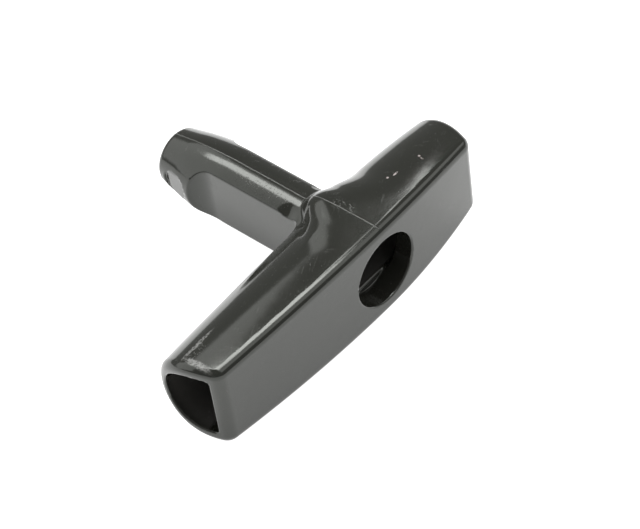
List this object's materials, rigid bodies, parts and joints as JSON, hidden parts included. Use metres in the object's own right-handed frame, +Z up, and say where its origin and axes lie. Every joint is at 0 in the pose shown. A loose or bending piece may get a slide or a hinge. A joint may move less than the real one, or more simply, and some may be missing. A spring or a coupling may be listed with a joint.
{
  "type": "starter handle",
  "caption": "T-shaped pull handle for a recoil starter: hollow D-section grip bar, open at its ends, with a knot hole in the palm face and a cord stem recessed at its sides.",
  "frame": {"origin": "where the stem's axis meets the long axis of the grip bar, at the place of the knot", "axes": "+X along the grip bar towards its short arm, +Y along the stem towards its tip, +Z up as it lies on a table; the palm face looks along -Y"},
  "size_m": [0.095, 0.0669, 0.028],
  "materials": {
    "black_plastic": "polished moulded black"
  },
  "bodies": {
    "root": {"handle": "black_plastic"}
  },
  "joints": []
}
